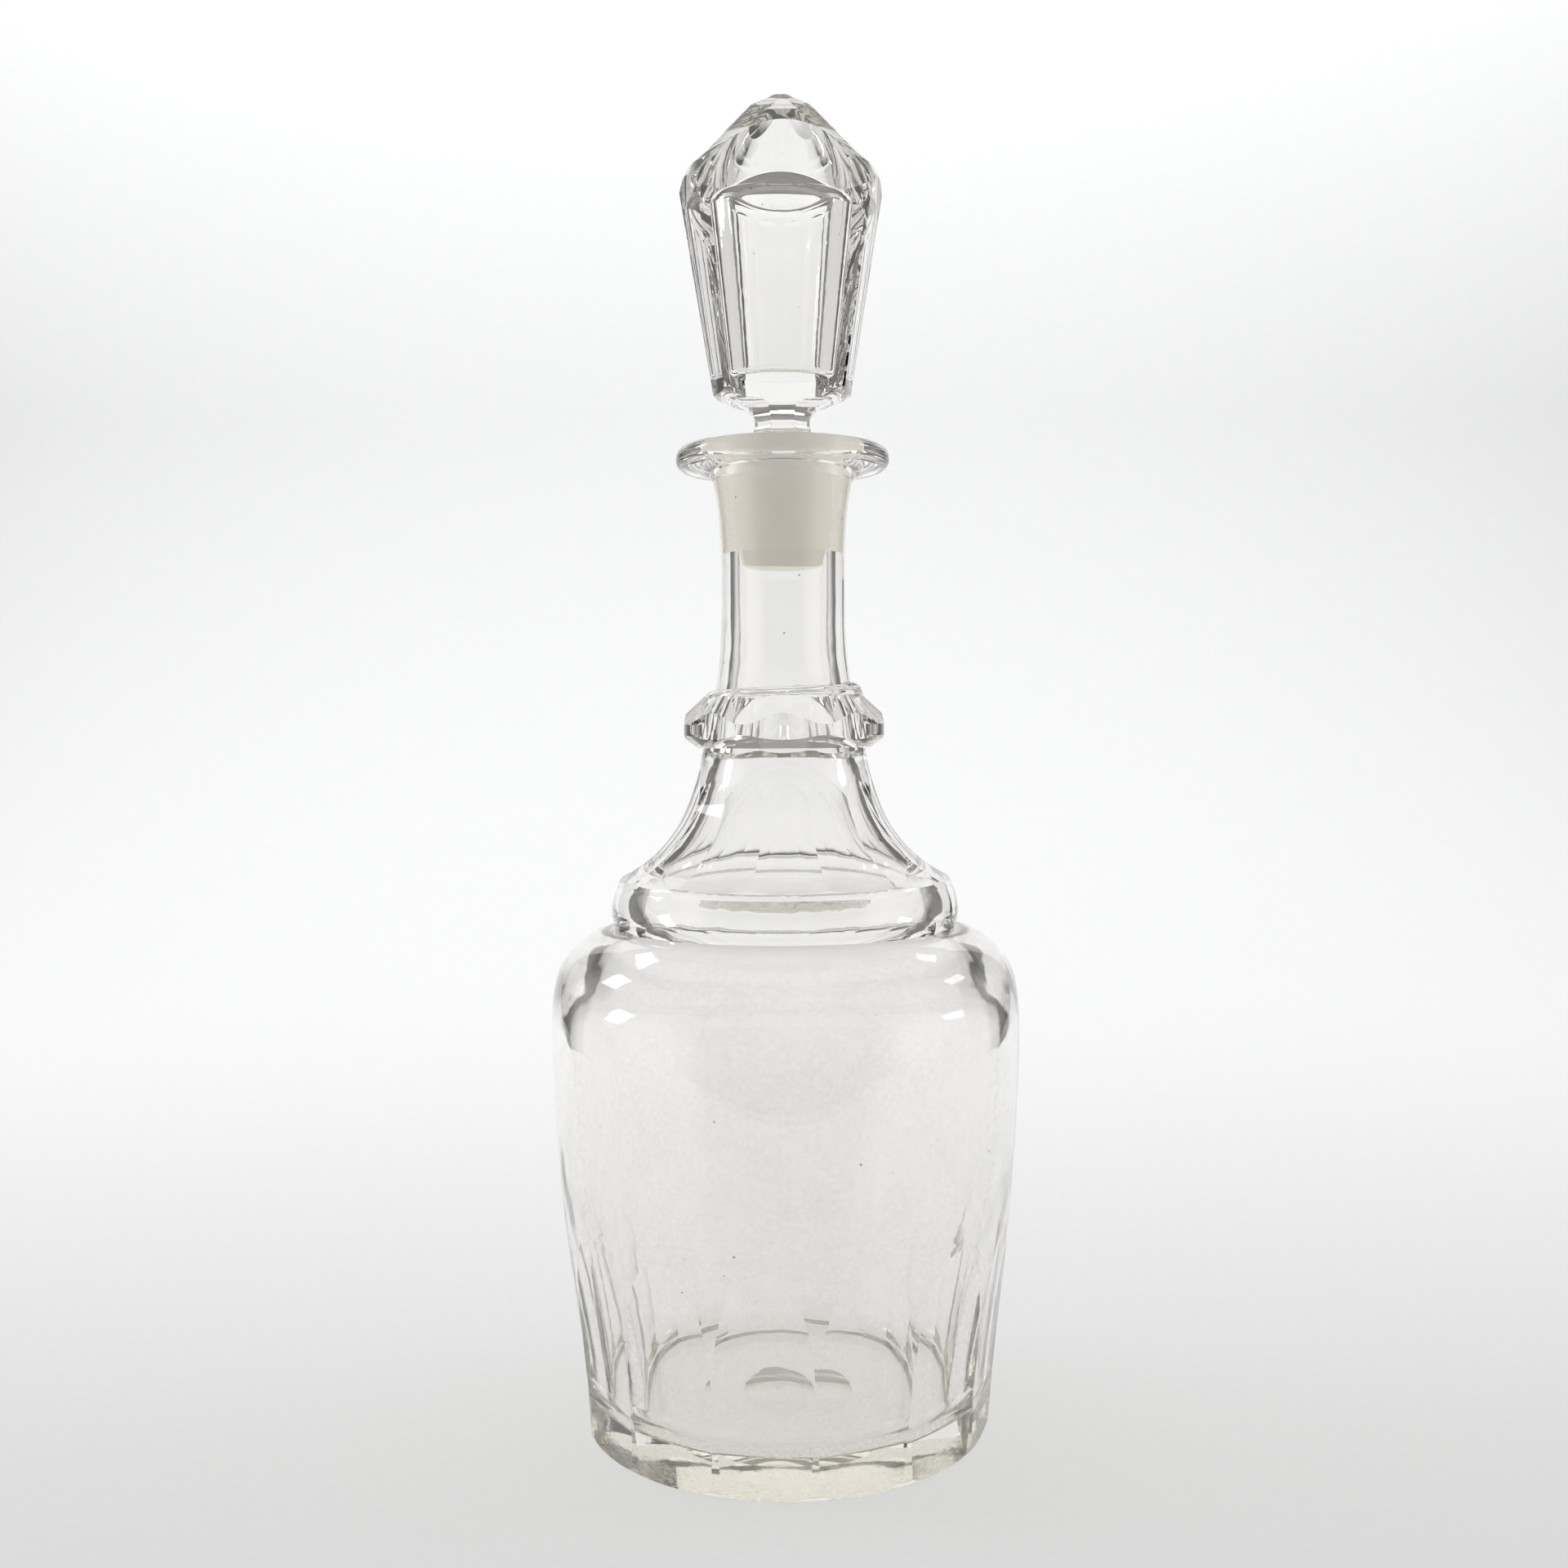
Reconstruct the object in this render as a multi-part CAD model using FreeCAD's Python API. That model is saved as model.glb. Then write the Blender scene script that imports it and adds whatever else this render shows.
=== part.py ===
"""Cut crystal decanter with its ground-in hollow stopper.

Millimetres, +Z up. The origin is the centre of the flat foot on the table, and
-Y is the front. The vessel is a thick-walled blown body whose neck carries an
applied cut ring and an applied disc lip. The stopper seats in the ground mouth:
its head is blown hollow, with one broad flat face in front and panels round the
sides and back.
"""

import math
import os

import FreeCAD
import Part

V = FreeCAD.Vector
AXIS_UP = V(0, 0, 1)
ORIGIN = V(0, 0, 0)

# ---- driving dimensions, mm and degrees ----------------------------------

# heights of the main levels
FOOT_EDGE_Z = 2.2
BODY_WIDEST_Z = 97.0
STEP_FOOT_Z = 121.6
STEP_TOP_Z = 131.4
RING_BOTTOM_Z = 165.4
RING_TOP_Z = 178.0
NECK_WAIST_Z = 205.0
LIP_SEAT_Z = 231.5
LIP_TOP_Z = 240.5

# outer radii of the vessel
FOOT_R = 47.6
FOOT_EDGE_R = 49.4
BODY_R = 57.5
STEP_R = 42.4
NECK_WAIST_R = 15.2
NECK_TOP_R = 17.3
LIP_R = 26.4

# smooth stretches of the outline, (radius, height) from the foot upwards
BODY_SIDE = ((50.9, 18.0), (54.3, 48.0), (56.6, 76.0), (BODY_R, BODY_WIDEST_Z))
BODY_SHOULDER = ((57.0, 106.0), (54.9, 113.0), (49.2, 119.0))
NECK_LOW = ((17.2, 178.0), (15.8, 188.0), (NECK_WAIST_R, NECK_WAIST_Z))
NECK_HIGH = ((15.6, 219.0),)

# the step under the shoulder: a swelling band with a rounded upper edge
STEP_UNDERCUT = 0.4
STEP_SWELL = 0.3
STEP_TOP_INSET = 1.0
STEP_ROUND = (1.9, 2.0)

# disc lip: arcs of its section, each (middle, end), radius in from the rim
# and height above the seat
LIP_UNDERSIDE = ((7.0, 1.4), (1.6, 2.5))
LIP_EDGE = ((0.3, 3.6), (0.0, 5.3))
LIP_SHOULDER = ((0.5, 6.9), (1.8, 7.9))
LIP_CROWN = ((6.4, 8.7), (11.4, 9.0))

# cuts are ground with the edge of a wheel whose axle lies level: each cut's
# half-section is an arc through three (radius, height) points

# lower body: round-topped panels ground on the taper, narrow ribs between them
PANEL_COUNT = 14
PANEL_FIRST_ANGLE = -95.9
PANEL_ARC = ((48.5, 3.0), (51.2, 31.0), (54.3, 50.0))
PANEL_WHEEL_WIDTH = 40.0

# shoulder: a concave sweep up to the neck, ground with flutes
SHOULDER_ARC_R = 41.7
SHOULDER_CENTRE_R = 61.7
SHOULDER_CENTRE_Z = 169.3
SHOULDER_START_ANGLE = 56.0
FLUTE_COUNT = 14
FLUTE_FIRST_ANGLE = -88.5
FLUTE_ARC = ((21.7, 157.4), (27.4, 143.5), (39.1, 133.7))
FLUTE_WHEEL_WIDTH = 22.0

# hollow of the vessel
FLOOR_Z = 7.5
FLOOR_R = 37.0
FLOOR_CORNER = ((41.6, 9.6), (43.4, 15.0))
HOLLOW_SIDE = ((47.6, 40.0), (52.2, 92.0), (50.4, 106.0), (42.0, 116.0))
HOLLOW_SHOULDER = ((36.6, 123.0), (33.6, 132.0), (26.0, 142.0), (19.6, 152.5))
HOLLOW_NECK = ((15.6, 164.5), (12.6, 178.0))
PONTIL_R = 14.0
PONTIL_DEPTH = 1.4
BORE_R = 11.3
BORE_Z = 200.0
SOCKET_BOTTOM_Z = 213.5
SOCKET_BOTTOM_R = 11.4
SOCKET_TOP_Z = 239.5
SOCKET_TOP_R = 13.0
MOUTH_BEVEL = 1.0

# applied neck ring: eight faces, with bevels over the corners
RING_FACETS = 8
RING_FIRST_ANGLE = -90.0
RING_APOTHEM = 24.3
RING_BLANK_R = 25.6
RING_FOOT_R = 21.4
RING_TOP_R = 19.8
RING_BLANK_HEIGHTS = (168.4, 172.6)
RING_UPPER_BEVEL = ((26.1, 170.6), (20.6, 176.4))
RING_LOWER_BEVEL = ((22.2, 165.6), (26.1, 168.9))
RING_BEAD_CENTRE_R = 17.4
RING_BEAD_R = 2.3
RING_BEAD_TOP_Z = 180.2
RING_BEAD_TILT = 2.2
RING_LUMP_ANGLE = -22.0
RING_LUMP_HALF_SIZES = (2.9, 4.6, 2.2)
RING_LUMP_PLACE = (17.2, 179.3)

# stopper: plug and stem
PLUG_END_Z = 209.8
PLUG_END_RADIUS = 3.2
PLUG_CLEARANCE = 0.04
STEM_R = 7.6
STEM_Z = 244.0
STEM_FOOT_MIDDLE = (9.2, 241.0)
STEM_TOP_MIDDLE = (8.6, 248.0)
STEM_FLUTES = 8
STEM_FIRST_ANGLE = -90.0
STEM_FLUTE_ARC = ((6.7, 245.2), (8.3, 249.1), (12.2, 250.7))
STEM_WHEEL_WIDTH = 12.0

# stopper: head
HEAD_TURN = 3.5
HEAD_UNDERSIDE = (12.4, 250.5)
HEAD_EDGE = (17.4, 252.7)
GIRDLE_LOW = (25.2, 299.0)
GIRDLE_MIDDLE = (25.1, 302.8)
CROWN_START = (23.74, 307.1)
CROWN_SHOULDER = (8.6, 323.2)
CROWN_TABLE = (3.0, 326.5)

# flat cuts of the head: low and high (distance from the axis, height)
FRONT_FACE = ((9.0, 252.7), (14.6, 306.8))
SIDE_PANEL = ((16.5, 252.7), (24.3, 302.4))
REAR_PANEL = ((16.5, 252.7), (24.85, 302.4))
PANEL_PITCH_COUNT = 12
SIDE_PANEL_PLACES = (0, 1, 6, 7)
REAR_PANEL_PLACES = (2, 3, 4, 5)
CROWN_FACET = ((21.0, 311.0), (7.9, 323.2))
CROWN_FACETS = 6
HEAD_CUTTER_SIZE = 80.0

# stopper: the blown hollow in the head, oval in plan
CAVITY_FLOOR_Z = 257.6
CAVITY_FLOOR_R = 13.2
CAVITY_TOP_Z = 308.2
CAVITY_TOP_R = 17.7
CAVITY_FLOOR_FILLET = 2.0
CAVITY_TOP_FILLET = 3.5
CAVITY_DOME = 5.0
CAVITY_DEPTH_RATIO = 0.72
CAVITY_SET_BACK = 4.5


# ---- helpers ---------------------------------------------------------------

def point(radius, height):
    """A point of a half-section, drawn in the XZ plane."""
    return V(radius, 0, height)


def points(pairs):
    """Points of a half-section from (radius, height) pairs."""
    return [point(radius, height) for radius, height in pairs]


def line(*stops):
    """Straight edges from stop to stop, in order."""
    return [Part.makeLine(a, b) for a, b in zip(stops, stops[1:])]


def arc(start, middle, end):
    """A circular arc through three points."""
    return [Part.Arc(start, middle, end).toShape()]


def corner_arc(start, end):
    """A quarter circle from an edge that runs outwards to one that runs up, or back."""
    size = end.z - start.z
    rising = end.x > start.x
    centre = point(start.x, end.z) if rising else point(end.x, start.z)
    turn = -math.pi / 4 if rising else math.pi / 4
    middle = centre + V(size * math.cos(turn), 0, size * math.sin(turn))
    return arc(start, middle, end)


def curve(*stops):
    """One smooth curve through the stops."""
    spline = Part.BSplineCurve()
    spline.interpolate(list(stops))
    return [spline.toShape()]


def turned(edges):
    """The solid swept when a closed half-section turns round the axis."""
    face = Part.Face(Part.Wire(edges))
    solid = face.revolve(ORIGIN, AXIS_UP, 360)
    return solid if solid.Volume > 0 else solid.reversed()


def round_copies(shape, count, first_angle):
    """Copies of a shape drawn towards +X, set evenly round the axis."""
    copies = []
    for index in range(count):
        copy = shape.copy()
        copy.rotate(ORIGIN, AXIS_UP, first_angle + index * 360.0 / count)
        copies.append(copy)
    return copies


def wheel(pairs, width):
    """A cutting wheel whose rim follows the arc through three half-section points."""
    rim = Part.Arc(*points(pairs)).toShape().Curve
    hub = rim.Center - V(0, width / 2, 0)
    return Part.makeCylinder(rim.Radius, width, hub, V(0, 1, 0))


def half_space(low, high, size):
    """A block outside the plane through two half-section points, low to high."""
    lean = math.degrees(math.atan2(high.x - low.x, high.z - low.z))
    block = Part.makeBox(size, 2 * size, 2 * size, V(0, -size, -size))
    block.rotate(ORIGIN, V(0, 1, 0), lean)
    block.translate(low)
    return block


def stretched(shape, x_scale, y_scale, z_scale):
    """A copy of a shape scaled by its own amount along each axis."""
    stretch = FreeCAD.Matrix()
    stretch.scale(x_scale, y_scale, z_scale)
    return shape.transformGeometry(stretch)


def save(shape, name):
    """Write one sub-part to its own file."""
    shape.exportStep(os.path.join("parts", name + ".step"))


# ---- vessel ----------------------------------------------------------------

def shoulder_point(angle):
    """A point of the concave shoulder arc, angle measured down from level."""
    turn = math.radians(angle)
    return point(
        SHOULDER_CENTRE_R - SHOULDER_ARC_R * math.cos(turn),
        SHOULDER_CENTRE_Z - SHOULDER_ARC_R * math.sin(turn),
    )


def vessel_blank():
    """The uncut outside of the body and neck, solid, up to the lip."""
    foot = point(FOOT_R, 0)
    foot_round = point(FOOT_R + 0.65 * (FOOT_EDGE_R - FOOT_R), 0.3 * FOOT_EDGE_Z)
    foot_edge = point(FOOT_EDGE_R, FOOT_EDGE_Z)
    step_foot = point(STEP_R - STEP_UNDERCUT, STEP_FOOT_Z)
    step_middle = point(STEP_R + STEP_SWELL, (STEP_FOOT_Z + STEP_TOP_Z) / 2)
    step_top = point(STEP_R - STEP_TOP_INSET, STEP_TOP_Z)
    step_round = point(STEP_R - STEP_ROUND[0], STEP_TOP_Z + STEP_ROUND[1])
    shoulder_start = shoulder_point(SHOULDER_START_ANGLE)
    shoulder_end = shoulder_point(0.0)
    neck_top = point(NECK_TOP_R, LIP_SEAT_Z)
    edges = line(point(0, LIP_SEAT_Z), ORIGIN, foot)
    edges += arc(foot, foot_round, foot_edge)
    edges += curve(foot_edge, *points(BODY_SIDE + BODY_SHOULDER), step_foot)
    edges += arc(step_foot, step_middle, step_top)
    edges += arc(step_top, step_round, shoulder_start)
    edges += arc(shoulder_start, shoulder_point(SHOULDER_START_ANGLE / 2), shoulder_end)
    edges += curve(shoulder_end, *points(NECK_LOW + NECK_HIGH), neck_top)
    edges += line(neck_top, point(0, LIP_SEAT_Z))
    return turned(edges)


def body_panels():
    """Cutters for the round-topped panels round the lower body."""
    cutter = wheel(PANEL_ARC, PANEL_WHEEL_WIDTH)
    return round_copies(cutter, PANEL_COUNT, PANEL_FIRST_ANGLE)


def shoulder_flutes():
    """Cutters for the flutes down the shoulder."""
    cutter = wheel(FLUTE_ARC, FLUTE_WHEEL_WIDTH)
    return round_copies(cutter, FLUTE_COUNT, FLUTE_FIRST_ANGLE)


def hollow():
    """The space inside the body and neck, up through the ground socket."""
    floor_edge = point(FLOOR_R, FLOOR_Z)
    corner_middle, corner_end = points(FLOOR_CORNER)
    neck_bore = point(BORE_R, BORE_Z)
    socket_bottom = point(SOCKET_BOTTOM_R, SOCKET_BOTTOM_Z)
    socket_top = point(SOCKET_TOP_R, SOCKET_TOP_Z)
    mouth = point(SOCKET_TOP_R + MOUTH_BEVEL, LIP_TOP_Z)
    above = LIP_TOP_Z + 1.0
    edges = line(point(0, above), point(0, FLOOR_Z), floor_edge)
    edges += arc(floor_edge, corner_middle, corner_end)
    outline = points(HOLLOW_SIDE + HOLLOW_SHOULDER + HOLLOW_NECK)
    edges += curve(corner_end, *outline, neck_bore)
    edges += line(neck_bore, socket_bottom, socket_top, mouth)
    edges += line(mouth, point(mouth.x, above), point(0, above))
    return turned(edges)


def pontil_hollow():
    """The shallow polished hollow under the foot."""
    ball_r = (PONTIL_R ** 2 + PONTIL_DEPTH ** 2) / (2 * PONTIL_DEPTH)
    return Part.makeSphere(ball_r, V(0, 0, PONTIL_DEPTH - ball_r))


def decanter_body(blank, inside):
    """The blown body and neck with its ground panels and flutes."""
    cutters = body_panels() + shoulder_flutes()
    return blank.cut(cutters).cut([inside, pontil_hollow()])


def lip_flange(inside):
    """The disc lip laid on the end of the neck."""
    start = point(NECK_TOP_R, LIP_SEAT_Z)
    edges = line(point(0, LIP_TOP_Z), point(0, LIP_SEAT_Z), start)
    for pair in (LIP_UNDERSIDE, LIP_EDGE, LIP_SHOULDER, LIP_CROWN):
        middle, end = [point(LIP_R - inset, LIP_SEAT_Z + rise) for inset, rise in pair]
        edges += arc(start, middle, end)
        start = end
    edges += line(start, point(0, LIP_TOP_Z))
    return turned(edges).cut(inside)


def ring_blank():
    """The applied ring before it is cut to facets."""
    bottom = point(RING_FOOT_R, RING_BOTTOM_Z)
    top = point(RING_TOP_R, RING_TOP_Z)
    wide_low, wide_high = [point(RING_BLANK_R, height) for height in RING_BLANK_HEIGHTS]
    edges = line(point(0, RING_TOP_Z), point(0, RING_BOTTOM_Z), bottom)
    edges += line(bottom, wide_low, wide_high, top)
    edges += line(top, point(0, RING_TOP_Z))
    return turned(edges)


def ring_bead():
    """The uncut upper bead of the ring, tilted as it was laid on."""
    bead_z = RING_BEAD_TOP_Z - RING_BEAD_R
    core_foot = V(0, 0, RING_BEAD_TOP_Z - 2 * RING_BEAD_R)
    bead = Part.makeTorus(RING_BEAD_CENTRE_R, RING_BEAD_R, V(0, 0, bead_z), AXIS_UP)
    core = Part.makeCylinder(RING_BEAD_CENTRE_R, 2 * RING_BEAD_R, core_foot, AXIS_UP)
    collar = bead.fuse(core)
    collar.rotate(V(0, 0, RING_TOP_Z), V(0, 1, 0), -RING_BEAD_TILT)
    return collar


def ring_lump():
    """The lump where the end of the trail of glass laps over its start."""
    lump = stretched(Part.makeSphere(1.0), *RING_LUMP_HALF_SIZES)
    lump.translate(point(*RING_LUMP_PLACE))
    lump.rotate(ORIGIN, AXIS_UP, RING_LUMP_ANGLE)
    return lump


def neck_ring(blank):
    """The applied ring: eight cut faces with bevels over their corners."""
    size = RING_BLANK_R
    wide_low = point(RING_APOTHEM, RING_BOTTOM_Z)
    wide_high = point(RING_APOTHEM, RING_TOP_Z)
    face_cut = half_space(wide_low, wide_high, size)
    upper = half_space(*points(RING_UPPER_BEVEL), size)
    lower = half_space(*points(RING_LOWER_BEVEL), size)
    corner = RING_FIRST_ANGLE + 180.0 / RING_FACETS
    cuts = round_copies(face_cut, RING_FACETS, RING_FIRST_ANGLE)
    cuts += round_copies(upper, RING_FACETS, corner)
    cuts += round_copies(lower, RING_FACETS, corner)
    cut_ring = ring_blank().cut(cuts)
    ring = cut_ring.fuse([ring_bead(), ring_lump()])
    return ring.cut(blank)


# ---- stopper ---------------------------------------------------------------

def stopper_blank():
    """The turned stopper before anything is cut or hollowed."""
    plug_bottom_r = SOCKET_BOTTOM_R - PLUG_CLEARANCE
    plug_top_r = SOCKET_TOP_R - PLUG_CLEARANCE
    plug_end = point(plug_bottom_r - PLUG_END_RADIUS, PLUG_END_Z)
    plug_side = point(plug_bottom_r, PLUG_END_Z + PLUG_END_RADIUS)
    plug_top = point(plug_top_r, SOCKET_TOP_Z)
    stem = point(STEM_R, STEM_Z)
    underside = point(*HEAD_UNDERSIDE)
    girdle_low = point(*GIRDLE_LOW)
    crown_start = point(*CROWN_START)
    table = point(*CROWN_TABLE)
    top = point(0, table.z)
    edges = line(top, point(0, PLUG_END_Z), plug_end)
    edges += corner_arc(plug_end, plug_side)
    edges += line(plug_side, plug_top)
    edges += arc(plug_top, point(*STEM_FOOT_MIDDLE), stem)
    edges += arc(stem, point(*STEM_TOP_MIDDLE), underside)
    edges += line(underside, point(*HEAD_EDGE), girdle_low)
    edges += arc(girdle_low, point(*GIRDLE_MIDDLE), crown_start)
    edges += line(crown_start, point(*CROWN_SHOULDER), table, top)
    return turned(edges)


def flat_cut(pair):
    """A cutter that leaves a flat through the pair, drawn towards +X."""
    return half_space(*points(pair), HEAD_CUTTER_SIZE)


def head_cuts():
    """Cutters for the broad front face, the panels round the rest and the crown."""
    front_angle = HEAD_TURN - 90.0
    first_panel = HEAD_TURN - 180.0 / PANEL_PITCH_COUNT
    sides = round_copies(flat_cut(SIDE_PANEL), PANEL_PITCH_COUNT, first_panel)
    rears = round_copies(flat_cut(REAR_PANEL), PANEL_PITCH_COUNT, first_panel)
    cuts = [sides[place] for place in SIDE_PANEL_PLACES]
    cuts += [rears[place] for place in REAR_PANEL_PLACES]
    cuts += round_copies(flat_cut(FRONT_FACE), 1, front_angle)
    crown_angle = front_angle + 180.0 / CROWN_FACETS
    cuts += round_copies(flat_cut(CROWN_FACET), CROWN_FACETS, crown_angle)
    return cuts


def stem_flutes():
    """Cutters for the flutes round the stem."""
    cutter = wheel(STEM_FLUTE_ARC, STEM_WHEEL_WIDTH)
    return round_copies(cutter, STEM_FLUTES, STEM_FIRST_ANGLE)


def cavity():
    """The sealed hollow blown in the head."""
    corner_z = CAVITY_TOP_Z - CAVITY_DOME
    floor_edge = point(CAVITY_FLOOR_R - CAVITY_FLOOR_FILLET, CAVITY_FLOOR_Z)
    side_low = point(CAVITY_FLOOR_R, CAVITY_FLOOR_Z + CAVITY_FLOOR_FILLET)
    side_high = point(CAVITY_TOP_R, corner_z - CAVITY_TOP_FILLET)
    dome_edge = point(CAVITY_TOP_R - CAVITY_TOP_FILLET, corner_z)
    dome_middle = point(dome_edge.x / 2, CAVITY_TOP_Z - CAVITY_DOME / 4)
    top = point(0, CAVITY_TOP_Z)
    edges = line(top, point(0, CAVITY_FLOOR_Z), floor_edge)
    edges += corner_arc(floor_edge, side_low)
    edges += line(side_low, side_high)
    edges += corner_arc(side_high, dome_edge)
    edges += arc(dome_edge, dome_middle, top)
    oval = stretched(turned(edges), 1.0, CAVITY_DEPTH_RATIO, 1.0)
    oval.translate(V(0, CAVITY_SET_BACK, 0))
    oval.rotate(ORIGIN, AXIS_UP, HEAD_TURN)
    return oval


def stopper():
    """The hollow stopper: cut head, fluted stem and ground plug."""
    return stopper_blank().cut(head_cuts() + stem_flutes()).cut(cavity())


def main():
    os.makedirs("parts", exist_ok=True)
    blank = vessel_blank()
    inside = hollow()
    save(decanter_body(blank, inside), "decanter_body")
    save(lip_flange(inside), "lip_flange")
    save(neck_ring(blank), "neck_ring")
    save(stopper(), "stopper")


main()
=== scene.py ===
"""Cut crystal decanter: looks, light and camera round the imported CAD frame.

The four CAD pieces keep their shape and get their glass here. They stand on a paper
sweep under three panel lights, in a dim room that shows in the glass.
"""

import math

import bpy
from mathutils import Matrix, Vector


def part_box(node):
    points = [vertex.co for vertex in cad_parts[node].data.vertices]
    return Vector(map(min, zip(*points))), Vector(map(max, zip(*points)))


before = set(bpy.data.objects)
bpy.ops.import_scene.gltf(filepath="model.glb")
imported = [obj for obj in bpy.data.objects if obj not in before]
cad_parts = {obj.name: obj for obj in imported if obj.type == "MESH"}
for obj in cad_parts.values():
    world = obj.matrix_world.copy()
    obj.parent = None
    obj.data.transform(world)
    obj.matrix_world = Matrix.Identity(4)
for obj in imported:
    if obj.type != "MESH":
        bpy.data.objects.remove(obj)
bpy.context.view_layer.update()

MM = 0.001

# levels and radii of the vessel that the finishes follow
RING_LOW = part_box("neck_ring")[0].z
BEAD_TOP = 180.2 * MM
BEAD_TILT = math.radians(2.2)
SEAM_DROP = 0.8 * MM
SEAM_R = 18.2 * MM
NECK_SURFACE_R = 16.2 * MM
LIP_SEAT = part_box("lip_flange")[0].z
SEAT_BORE_R = 12.62 * MM
SEAT_OUTER_R = 17.35 * MM
SEAT_SLACK = 0.05 * MM
SOCKET_BOTTOM = 213.5 * MM
SOCKET_TOP = 239.6 * MM
SOCKET_R = 13.3 * MM
MID_NECK_LOW = 190.0 * MM
MID_NECK_TOP = 210.0 * MM
PLUG_TOP = SOCKET_TOP - 0.15 * MM
FOOT_RING_R = 30.0 * MM
FOOT_WEAR_TOP = 0.3 * MM
THICK_FOOT_LOW = 3.0 * MM
THICK_FOOT_TOP = 14.0 * MM
INSIDE_LOW = 4.0 * MM
INSIDE_TOP = 115.0 * MM
INSIDE_FOOT_R = 45.8 * MM
INSIDE_FLARE = 0.097
SETTLED_LOW = 6.0 * MM
SETTLED_TOP = 50.0 * MM

# colours: red, green, blue, and alpha where a shader takes it
FOOT_TINT = (0.978, 0.970, 0.940)
GLASS_TINT = (0.994, 0.992, 0.988)
HAZE_COLOUR = (0.86, 0.84, 0.83)
GROUND_COLOUR = (0.97, 0.925, 0.84, 1.0)
STAIN_COLOUR = (0.42, 0.24, 0.10, 1.0)
DUST_COLOUR = (0.16, 0.14, 0.12, 1.0)
SHADE_COLOUR = (0.975, 0.975, 0.97, 1.0)
NO_COLOUR = (1.0, 1.0, 1.0, 1.0)
PAPER_COLOUR = (0.80, 0.805, 0.81)
ROOM_COLOUR = (1.0, 0.98, 0.95, 1.0)

# a face looks at the axis where its normal along the radius is less than this
FACES_AXIS = -0.5

# glass
GLASS_IOR = 1.55
WAVE_DEPTH = 0.05 * MM
DRAWN_DEPTH = 0.008 * MM
SCRATCH_DEPTH = 0.001 * MM
GROUND_SHARE = 0.80
GROUND_SPREAD = 0.08
DUST_STRENGTH = 0.6

# brightness of the room
ROOM_DIM = 0.11
ROOM_SIDES = 0.75
ROOM_CEILING = 0.28


# ---- node trees ----------------------------------------------------------------

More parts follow.
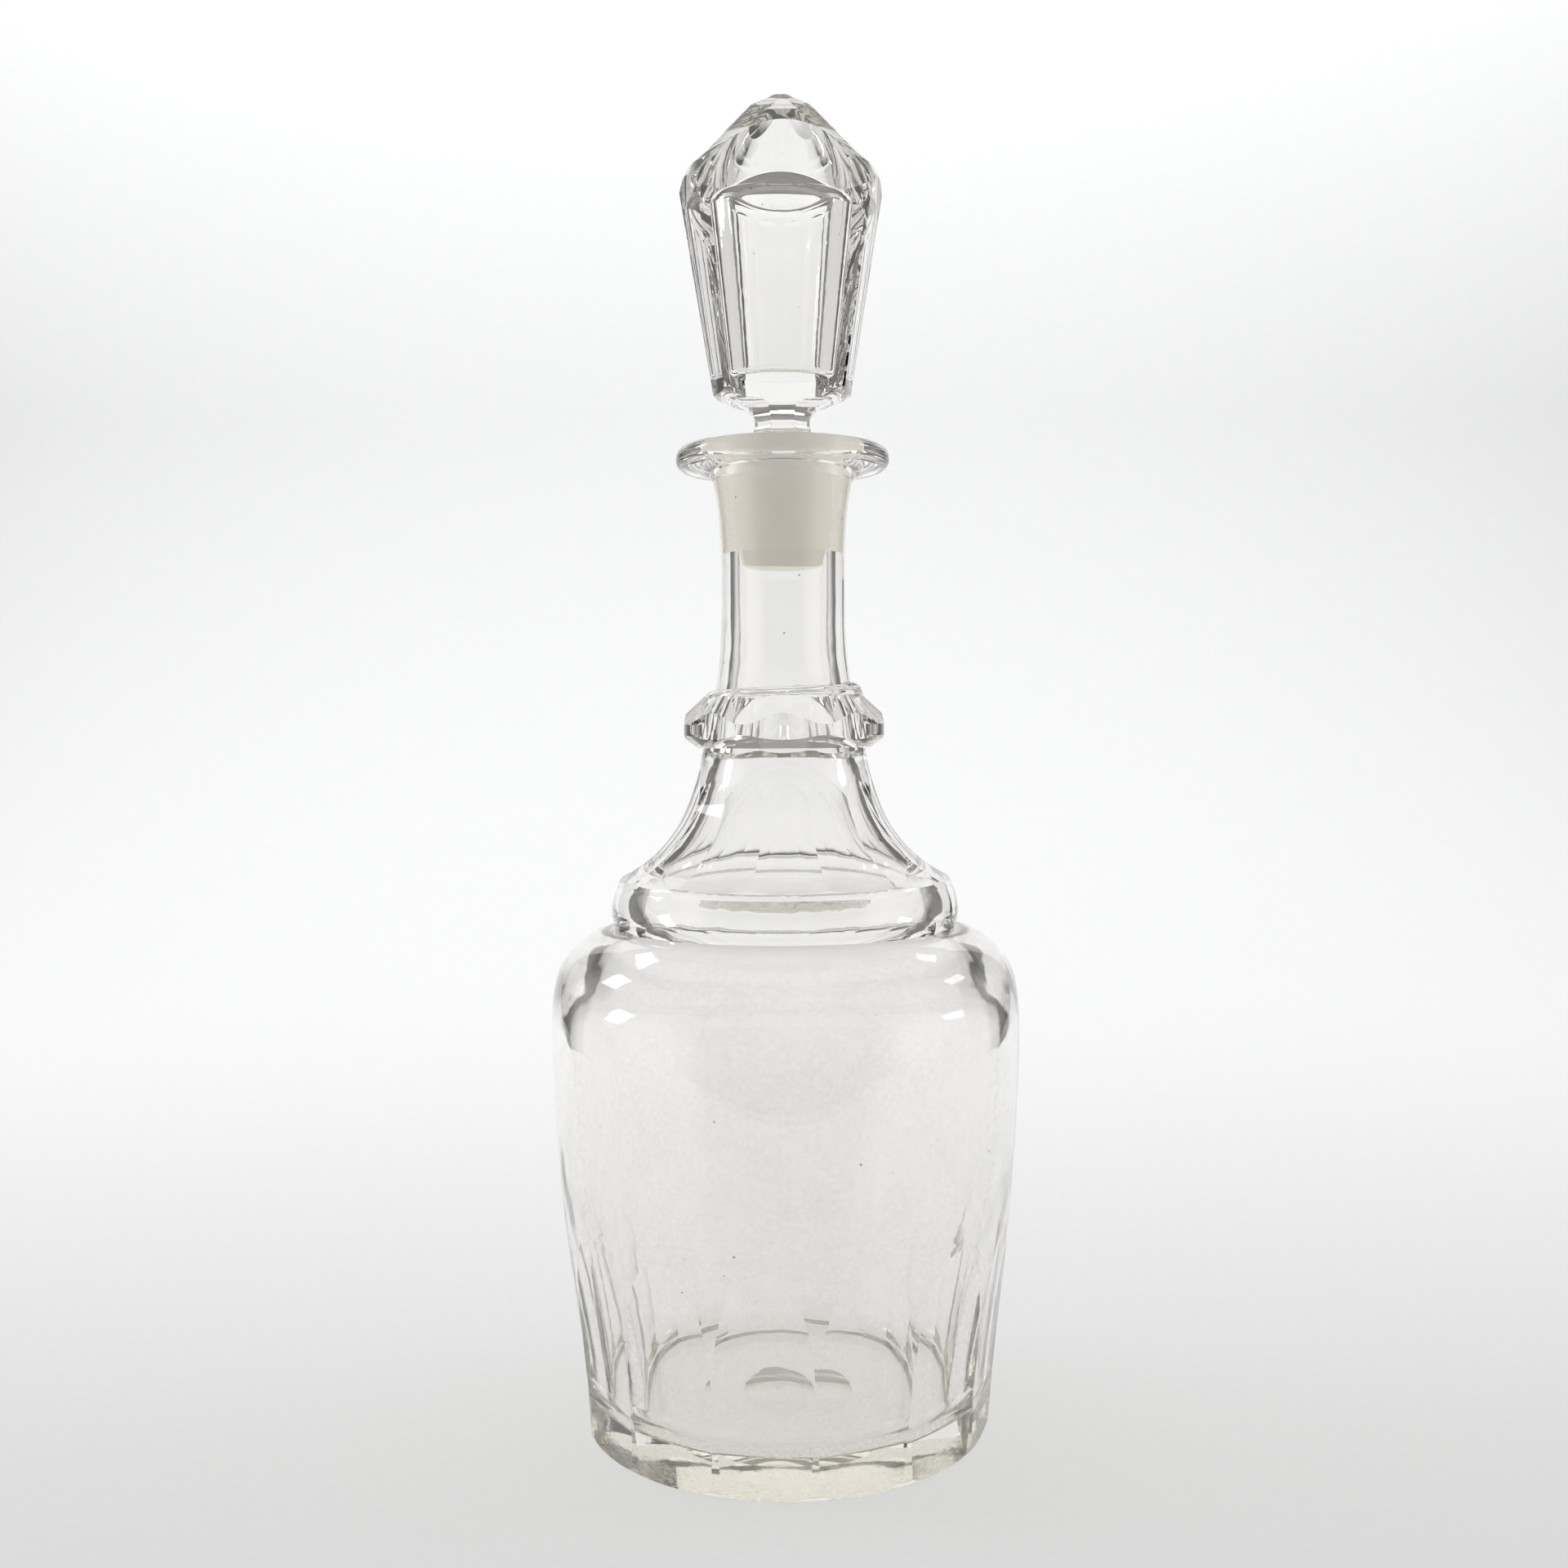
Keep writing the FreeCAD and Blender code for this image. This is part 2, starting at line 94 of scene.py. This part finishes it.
class Graph:
    """The node tree of a material or of the world, with short calls to build it."""

    def __init__(self, owner, coordinates="Object"):
        owner.use_nodes = True
        self.owner = owner
        self.tree = owner.node_tree
        self.tree.nodes.clear()
        self.where = self.node("ShaderNodeTexCoord").outputs[coordinates]
        parts = self.node("ShaderNodeSeparateXYZ", {0: self.where}).outputs
        self.x, self.y, self.height = parts[0], parts[1], parts[2]

    def node(self, kind, values=None, **settings):
        """A new node with its settings, and its inputs set or linked."""
        made = self.tree.nodes.new(kind)
        for key, value in settings.items():
            setattr(made, key, value)
        for key, value in (values or {}).items():
            if isinstance(value, bpy.types.NodeSocket):
                self.tree.links.new(value, made.inputs[key])
            else:
                made.inputs[key].default_value = value
        return made

    def math(self, operation, first, second=0.0):
        made = self.node("ShaderNodeMath", {0: first, 1: second}, operation=operation)
        return made.outputs[0]

    def above(self, value, limit):
        return self.math("GREATER_THAN", value, limit)

    def below(self, value, limit):
        return self.math("LESS_THAN", value, limit)

    def both(self, *masks):
        """The product of the masks, which is 1 only where all of them are 1."""
        result = masks[0]
        for mask in masks[1:]:
            result = self.math("MULTIPLY", result, mask)
        return result

    def either(self, first, second):
        return self.math("MAXIMUM", first, second)

    def line(self, value, slope, start):
        """A number that changes evenly with value, and is start where value is 0."""
        return self.math("ADD", self.math("MULTIPLY", value, slope), start)

    def ramp(self, value, low, high, to_low, to_high):
        """A number that goes from to_low to to_high as value goes from low to high."""
        made = self.node(
            "ShaderNodeMapRange",
            {"Value": value, "From Min": low, "From Max": high,
             "To Min": to_low, "To Max": to_high},
            clamp=True,
        )
        return made.outputs["Result"]

    def radius(self):
        """Distance from the axis of the object."""
        square = self.math("ADD", self.math("MULTIPLY", self.x, self.x),
                           self.math("MULTIPLY", self.y, self.y))
        return self.math("SQRT", square)

    def noise(self, scale, detail=2.0, roughness=0.5, rise=1.0):
        """Soft noise from 0 to 1. A rise under 1 draws it out up the object."""
        where = self.where
        if rise != 1.0:
            where = self.node(
                "ShaderNodeMapping", {0: where, "Scale": (1.0, 1.0, rise)}
            ).outputs[0]
        made = self.node(
            "ShaderNodeTexNoise",
            {"Vector": where, "Scale": scale, "Detail": detail, "Roughness": roughness},
        )
        return made.outputs[0]

    def specks(self, scale, size, share):
        """Sparse round dots: size in cells, and the share of cells that hold one."""
        cells = self.node("ShaderNodeTexVoronoi", {"Vector": self.where, "Scale": scale})
        near = self.below(cells.outputs["Distance"], size)
        pick = self.node("ShaderNodeSeparateColor", {0: cells.outputs["Color"]})
        return self.both(near, self.below(pick.outputs[0], share))

    def facing_axis(self):
        """1 on faces that look at the axis of the object, whichever side is hit."""
        geometry = self.node("ShaderNodeNewGeometry").outputs
        level = self.node("ShaderNodeVectorMath", {0: self.where, 1: (1.0, 1.0, 0.0)},
                          operation="MULTIPLY").outputs[0]
        outwards = self.node("ShaderNodeVectorMath", {0: level},
                             operation="NORMALIZE").outputs[0]
        turned = self.node("ShaderNodeVectorMath",
                           {0: geometry["True Normal"], 1: outwards},
                           operation="DOT_PRODUCT").outputs["Value"]
        side = self.ramp(geometry["Backfacing"], low=0.0, high=1.0, to_low=1.0, to_high=-1.0)
        return self.below(self.math("MULTIPLY", turned, side), FACES_AXIS)

    def bump(self, height, distance, under=None):
        """A bumped normal, laid over the one under it if there is one."""
        values = {"Height": height, "Strength": 1.0, "Distance": distance}
        if under is not None:
            values["Normal"] = under
        return self.node("ShaderNodeBump", values).outputs[0]

    def colour(self, red, green, blue):
        return self.node("ShaderNodeCombineColor", {0: red, 1: green, 2: blue}).outputs[0]

    def colour_up(self, low, high, low_colour, high_colour):
        """A colour that goes over into another between two heights."""
        channels = [
            self.ramp(self.height, low, high, low_colour[channel], high_colour[channel])
            for channel in range(3)
        ]
        return self.colour(*channels)

    def shader(self, kind, colour, **values):
        """The output of a BSDF of this kind and colour."""
        return self.node("ShaderNodeBsdf" + kind, {"Color": colour, **values}).outputs[0]

    def mix(self, share, first, second):
        made = self.node("ShaderNodeMixShader", {0: share, 1: first, 2: second})
        return made.outputs[0]

    def finish(self, shader, output="ShaderNodeOutputMaterial"):
        """Make the shader the look of the owner, and give the owner back."""
        self.node(output, {"Surface": shader})
        return self.owner


# ---- finishes of the glass -----------------------------------------------------

def polish_marks(graph):
    """Normal of the polished surface: slow waves, drawn lines and hair scratches."""
    waves = graph.bump(graph.noise(scale=55.0, detail=1.0), WAVE_DEPTH)
    drawn = graph.bump(graph.noise(scale=240.0, rise=0.15), DRAWN_DEPTH, waves)
    hair = graph.noise(scale=2600.0, roughness=0.6, rise=0.08)
    return graph.bump(hair, SCRATCH_DEPTH, drawn)


def dusty(graph, glass):
    """The glass with sparse dark specks of dust on it."""
    dust = graph.shader("Diffuse", DUST_COLOUR)
    specks = graph.specks(scale=260.0, size=0.075, share=0.06)
    return graph.mix(graph.math("MULTIPLY", specks, DUST_STRENGTH), glass, dust)


def let_light_through(graph, glass):
    """The glass, but only a pale filter to shadow rays and to rays off matt surfaces."""
    rays = graph.node("ShaderNodeLightPath").outputs
    unbent = graph.either(rays["Is Shadow Ray"], rays["Is Diffuse Ray"])
    return graph.mix(unbent, glass, graph.shader("Transparent", SHADE_COLOUR))


def crystal(graph, roughness, fused, film, film_colour):
    """Clear lead crystal with polish marks, dust and a thin film.

    fused is 1 where the glass runs on into the next piece, so nothing shows there.
    film is the share of the surface that scatters light, as haze or ground glass does.
    """
    tint = graph.colour_up(THICK_FOOT_LOW, THICK_FOOT_TOP, FOOT_TINT, GLASS_TINT)
    clear = graph.shader("Glass", tint, Roughness=roughness, IOR=GLASS_IOR,
                         Normal=polish_marks(graph))
    scatter = graph.mix(0.5, graph.shader("Diffuse", film_colour),
                        graph.shader("Translucent", film_colour))
    glass = dusty(graph, graph.mix(film, clear, scatter))
    glass = let_light_through(graph, glass)
    return graph.mix(fused, glass, graph.shader("Transparent", NO_COLOUR))


def ground(graph, mask):
    """Roughness and film share of matt ground glass inside the mask."""
    coarse = graph.noise(scale=900.0, detail=3.0, roughness=0.7)
    grit = graph.ramp(coarse, low=0.3, high=0.7, to_low=0.30, to_high=0.45)
    fine = graph.noise(scale=1500.0, roughness=0.6)
    cover = graph.ramp(fine, low=0.3, high=0.7,
                       to_low=GROUND_SHARE - GROUND_SPREAD,
                       to_high=GROUND_SHARE + GROUND_SPREAD)
    return graph.both(mask, grit), graph.both(mask, cover)


def bead_level(graph, drop=0.0):
    """Height of the tilted top of the bead on the ring, less a drop."""
    return graph.line(graph.x, math.sin(BEAD_TILT), BEAD_TOP - drop)


def foot_wear(graph, radius):
    """Roughness of the worn ring that the decanter stands on."""
    marks = graph.noise(scale=700.0, detail=3.0, roughness=0.7)
    scuffs = graph.ramp(marks, low=0.45, high=0.6, to_low=0.0, to_high=0.25)
    return graph.both(graph.below(graph.height, FOOT_WEAR_TOP),
                      graph.above(radius, FOOT_RING_R), scuffs)


def inside_haze(graph, radius):
    """Film share of the dried-on haze inside the body, thickest near its floor."""
    inside = graph.both(
        graph.below(radius, graph.line(graph.height, INSIDE_FLARE, INSIDE_FOOT_R)),
        graph.above(graph.height, INSIDE_LOW),
        graph.below(graph.height, INSIDE_TOP),
    )
    patches = graph.noise(scale=45.0, detail=5.0, roughness=0.65)
    cloud = graph.ramp(patches, low=0.35, high=0.7, to_low=0.03, to_high=0.10)
    spots = graph.noise(scale=900.0, roughness=0.6)
    grain = graph.ramp(spots, low=0.35, high=0.65, to_low=0.6, to_high=1.4)
    settled = graph.ramp(graph.height, SETTLED_LOW, SETTLED_TOP, to_low=1.5, to_high=1.0)
    return graph.both(inside, cloud, grain, settled)


def vessel_crystal():
    """Body and neck: hazy inside, ground in the socket, worn under the foot."""
    graph = Graph(bpy.data.materials.new("body_crystal_vessel"))
    radius = graph.radius()
    socket = graph.both(graph.above(graph.height, SOCKET_BOTTOM),
                        graph.below(radius, SOCKET_R))
    grit, cover = ground(graph, socket)
    rough = graph.either(grit, foot_wear(graph, radius))
    film = graph.either(inside_haze(graph, radius), cover)
    film_colour = graph.colour_up(MID_NECK_LOW, MID_NECK_TOP, HAZE_COLOUR, GROUND_COLOUR)
    under_ring = graph.both(
        graph.above(graph.height, RING_LOW),
        graph.below(graph.height, bead_level(graph)),
        graph.above(radius, NECK_SURFACE_R),
    )
    under_lip = graph.both(graph.above(graph.height, LIP_SEAT - SEAT_SLACK),
                           graph.above(radius, SEAT_BORE_R))
    fused = graph.either(under_ring, under_lip)
    return graph.finish(crystal(graph, rough, fused, film, film_colour))


def ring_crystal():
    """Neck ring: fused where it meets the neck, with a brown stain in its seam."""
    graph = Graph(bpy.data.materials.new("body_crystal_ring"))
    patches = graph.noise(scale=260.0, detail=3.0)
    stain = graph.ramp(patches, low=0.45, high=0.6, to_low=0.0, to_high=0.55)
    seam = graph.both(
        graph.above(graph.height, bead_level(graph, SEAM_DROP)),
        graph.below(graph.radius(), SEAM_R),
        stain,
    )
    return graph.finish(crystal(graph, 0.0, graph.facing_axis(), seam, STAIN_COLOUR))


def lip_crystal():
    """Lip: fused where it sits on the neck, ground where the socket runs on into it."""
    graph = Graph(bpy.data.materials.new("body_crystal_lip"))
    radius = graph.radius()
    seat = graph.both(graph.below(graph.height, LIP_SEAT + SEAT_SLACK),
                      graph.below(radius, SEAT_OUTER_R))
    socket = graph.both(graph.below(graph.height, SOCKET_TOP),
                        graph.below(radius, SOCKET_R))
    grit, cover = ground(graph, socket)
    return graph.finish(crystal(graph, grit, seat, cover, GROUND_COLOUR))


def stopper_crystal():
    """Stopper: clear, with a ground plug."""
    graph = Graph(bpy.data.materials.new("stopper_crystal_clear"))
    grit, cover = ground(graph, graph.below(graph.height, PLUG_TOP))
    return graph.finish(crystal(graph, grit, 0.0, cover, GROUND_COLOUR))


def dress(node, material):
    """Give a CAD node one material."""
    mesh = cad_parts[node].data
    mesh.materials.clear()
    mesh.materials.append(material)


# ---- studio --------------------------------------------------------------------

def paper():
    """Matt pale paper with a faint grain."""
    graph = Graph(bpy.data.materials.new("studio_paper"))
    fibres = graph.noise(scale=350.0, detail=3.0)
    grain = graph.ramp(fibres, low=0.3, high=0.7, to_low=0.985, to_high=1.0)
    channels = [graph.math("MULTIPLY", grain, channel) for channel in PAPER_COLOUR]
    return graph.finish(graph.shader("Diffuse", graph.colour(*channels)))


def sweep():
    """A sheet of paper: a level floor that bends up behind the decanter and widens backwards.

    It lies a little below the foot, so that foot and paper are not one surface.
    """
    front, bend_start, bend_r, top = -0.33, 0.62, 0.45, 1.0
    side_front, side_back = 0.36, 0.74
    gap = 0.3 * MM
    bend_steps = 24
    profile = [(front, 0.0), (0.0, 0.0), (bend_start, 0.0)]
    for step in range(1, bend_steps + 1):
        turn = math.radians(90.0 * step / bend_steps)
        profile.append((bend_start + bend_r * math.sin(turn), bend_r - bend_r * math.cos(turn)))
    profile.append((bend_start + bend_r, top))
    points = []
    for y, z in profile:
        share = (y - front) / (bend_start + bend_r - front)
        side = side_front + (side_back - side_front) * share
        points += [(-side, y, z - gap), (side, y, z - gap)]
    faces = [(2 * i, 2 * i + 1, 2 * i + 3, 2 * i + 2) for i in range(len(profile) - 1)]
    mesh = bpy.data.meshes.new("studio_sweep")
    mesh.from_pydata(points, [], faces)
    for face in mesh.polygons:
        face.use_smooth = True
    mesh.materials.append(paper())
    made = bpy.data.objects.new("studio_sweep", mesh)
    bpy.context.scene.collection.objects.link(made)


def panel_light(name, place, aim, width, height, radiance, in_glass):
    """A flat soft light of the given brightness, that the glass shows or does not show."""
    light = bpy.data.lights.new(name, "AREA")
    light.shape = "RECTANGLE"
    light.size = width
    light.size_y = height
    light.energy = radiance * math.pi * width * height
    made = bpy.data.objects.new(name, light)
    made.location = place
    made.rotation_euler = (Vector(aim) - Vector(place)).to_track_quat("-Z", "Y").to_euler()
    made.visible_camera = False
    made.visible_glossy = in_glass
    made.visible_transmission = in_glass
    bpy.context.scene.collection.objects.link(made)


def lights():
    """One wide light on the wall of paper, and a small window on each side."""
    panel_light("wall_light", place=(0.0, 0.12, 1.35), aim=(0.0, 1.07, 0.55),
                width=3.4, height=0.5, radiance=5.7, in_glass=False)
    middle = (0.0, 0.0, 0.16)
    panel_light("left_window", place=(-1.15, 0.25, 0.75), aim=middle,
                width=0.30, height=0.34, radiance=5.0, in_glass=True)
    panel_light("right_window", place=(1.15, 0.25, 0.75), aim=middle,
                width=0.30, height=0.16, radiance=4.0, in_glass=True)


def room():
    """The room round the studio, which shows in the glass: dim, paler at the sides and above."""
    world = bpy.data.worlds.new("room")
    bpy.context.scene.world = world
    graph = Graph(world, "Generated")
    across = graph.math("ABSOLUTE", graph.x)
    sides = graph.ramp(across, low=0.74, high=0.86, to_low=ROOM_DIM, to_high=ROOM_SIDES)
    ceiling = graph.ramp(graph.height, low=0.45, high=0.75,
                         to_low=ROOM_DIM, to_high=ROOM_CEILING)
    glow = graph.node("ShaderNodeBackground",
                      {"Color": ROOM_COLOUR, "Strength": graph.either(sides, ceiling)})
    graph.finish(glow.outputs[0], "ShaderNodeOutputWorld")


def camera():
    """A lens level with the neck ring, shifted down and leaning a third of a degree."""
    distance = 0.4175
    eye_level = 0.1705
    lean = math.radians(-0.33)
    data = bpy.data.cameras.new("camera")
    data.sensor_width = 36.0
    data.lens = 38.625
    data.shift_y = -0.0364583
    made = bpy.data.objects.new("camera", data)
    bpy.context.scene.collection.objects.link(made)
    made.matrix_world = (
        Matrix.Translation((0.0, -distance, eye_level))
        @ Matrix.Rotation(math.radians(90.0), 4, "X")
        @ Matrix.Rotation(lean, 4, "Z")
    )
    bpy.context.scene.camera = made


def light_paths():
    """Enough bounces for glass behind glass, and no focused light on the paper."""
    scene = bpy.context.scene
    scene.view_settings.view_transform = "Standard"
    cycles = scene.cycles
    cycles.max_bounces = 24
    cycles.transmission_bounces = 24
    cycles.transparent_max_bounces = 24
    cycles.glossy_bounces = 12
    cycles.diffuse_bounces = 3
    cycles.caustics_reflective = False
    cycles.caustics_refractive = False
    cycles.use_denoising = True


dress("decanter_body", vessel_crystal())
dress("neck_ring", ring_crystal())
dress("lip_flange", lip_crystal())
dress("stopper", stopper_crystal())

sweep()
lights()
room()
camera()
light_paths()
